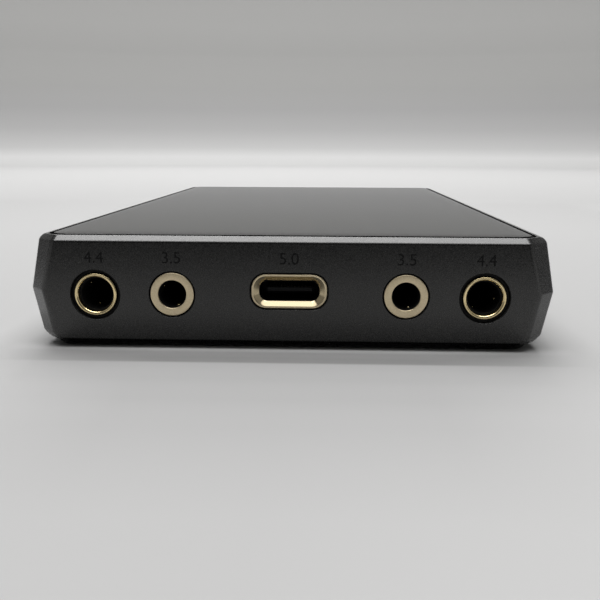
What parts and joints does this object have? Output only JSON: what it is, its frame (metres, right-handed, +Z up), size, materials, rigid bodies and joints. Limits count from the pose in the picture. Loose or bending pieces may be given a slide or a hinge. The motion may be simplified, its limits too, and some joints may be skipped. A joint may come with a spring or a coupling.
{
  "type": "digital audio player",
  "caption": "Pocket digital audio player with a faceted aluminium housing, glass front and back, headphone and line sockets, USB socket, side keys and card tray.",
  "frame": {"origin": "on the floor under the middle of the player, which lies on its rear cover", "axes": "+Z up out of the screen, -Y out of the socket panel, +X to the right as the screen is read"},
  "size_m": [0.0746, 0.13, 0.016],
  "materials": {
    "anodised_grey": "bead-blasted, dark grey anodised",
    "gold_plate": "polished gold plate",
    "champagne_anodised": "satin pale-gold anodised",
    "cover_glass": "polished, black behind",
    "black_glass": "polished black",
    "black_rubber": "matt",
    "black_moulding": "moulded",
    "board_laminate": "solder mask",
    "tin_plate": "bright tin plate",
    "dark_nickel": "dark nickel plate",
    "brass": "turned",
    "pouch_foil": "wrapped foil",
    "flex_film": "amber film",
    "thermal_pad": "soft"
  },
  "bodies": {
    "housing": {"chassis": "anodised_grey", "line_out_44_ring": "gold_plate", "headphone_44_ring": "gold_plate", "line_out_35_ring": "champagne_anodised", "headphone_35_ring": "champagne_anodised", "usb_trim": "champagne_anodised", "front_glass": "cover_glass", "rear_cover": "black_glass", "display_panel": "black_glass", "screen_gasket": "black_rubber", "rear_seal": "black_rubber", "line_out_44_body": "black_moulding", "headphone_44_body": "black_moulding", "line_out_35_body": "black_moulding", "headphone_35_body": "black_moulding", "usb_tongue": "black_moulding", "board_connector": "black_moulding", "power_switch": "black_moulding", "volume_up_switch": "black_moulding", "volume_down_switch": "black_moulding", "previous_switch": "black_moulding", "play_switch": "black_moulding", "next_switch": "black_moulding", "main_board": "board_laminate", "audio_board": "board_laminate", "left_key_board": "board_laminate", "right_key_board": "board_laminate", "usb_shell": "dark_nickel", "card_socket": "tin_plate", "cpu_shield": "tin_plate", "audio_shield": "tin_plate", "audio_screw_front_left": "tin_plate", "audio_screw_front_right": "tin_plate", "audio_screw_back_left": "tin_plate", "audio_screw_back_right": "tin_plate", "standoff_front_left": "brass", "standoff_front_right": "brass", "standoff_back_left": "brass", "standoff_back_right": "brass", "battery": "pouch_foil", "display_flex": "flex_film", "battery_lead": "flex_film", "antenna": "flex_film", "thermal_pad": "thermal_pad"},
    "power_key": {"power_key": "anodised_grey", "power_plunger": "black_moulding"},
    "volume_up_key": {"volume_up_key": "anodised_grey", "volume_up_plunger": "black_moulding"},
    "volume_down_key": {"volume_down_key": "anodised_grey", "volume_down_plunger": "black_moulding"},
    "previous_key": {"previous_key": "anodised_grey", "previous_plunger": "black_moulding"},
    "play_key": {"play_key": "anodised_grey", "play_plunger": "black_moulding"},
    "next_key": {"next_key": "anodised_grey", "next_plunger": "black_moulding"},
    "card_tray": {"card_tray": "anodised_grey"}
  },
  "joints": [
    {"name": "power_press", "type": "slide", "parent": "housing", "child": "power_key", "axis": [1, 0, 0], "range_m": [0, 0.0003], "stiffness_N_per_m": 1000, "springref_m": -0.0005},
    {"name": "volume_up_press", "type": "slide", "parent": "housing", "child": "volume_up_key", "axis": [1, 0, 0], "range_m": [0, 0.0003], "stiffness_N_per_m": 1000, "springref_m": -0.0005},
    {"name": "volume_down_press", "type": "slide", "parent": "housing", "child": "volume_down_key", "axis": [1, 0, 0], "range_m": [0, 0.0003], "stiffness_N_per_m": 1000, "springref_m": -0.0005},
    {"name": "previous_press", "type": "slide", "parent": "housing", "child": "previous_key", "axis": [-1, 0, 0], "range_m": [0, 0.0003], "stiffness_N_per_m": 1000, "springref_m": -0.0005},
    {"name": "play_press", "type": "slide", "parent": "housing", "child": "play_key", "axis": [-1, 0, 0], "range_m": [0, 0.0003], "stiffness_N_per_m": 1000, "springref_m": -0.0005},
    {"name": "next_press", "type": "slide", "parent": "housing", "child": "next_key", "axis": [-1, 0, 0], "range_m": [0, 0.0003], "stiffness_N_per_m": 1000, "springref_m": -0.0005},
    {"name": "tray_slide", "type": "slide", "parent": "housing", "child": "card_tray", "axis": [-1, 0, 0], "range_m": [0, 0.022]}
  ]
}
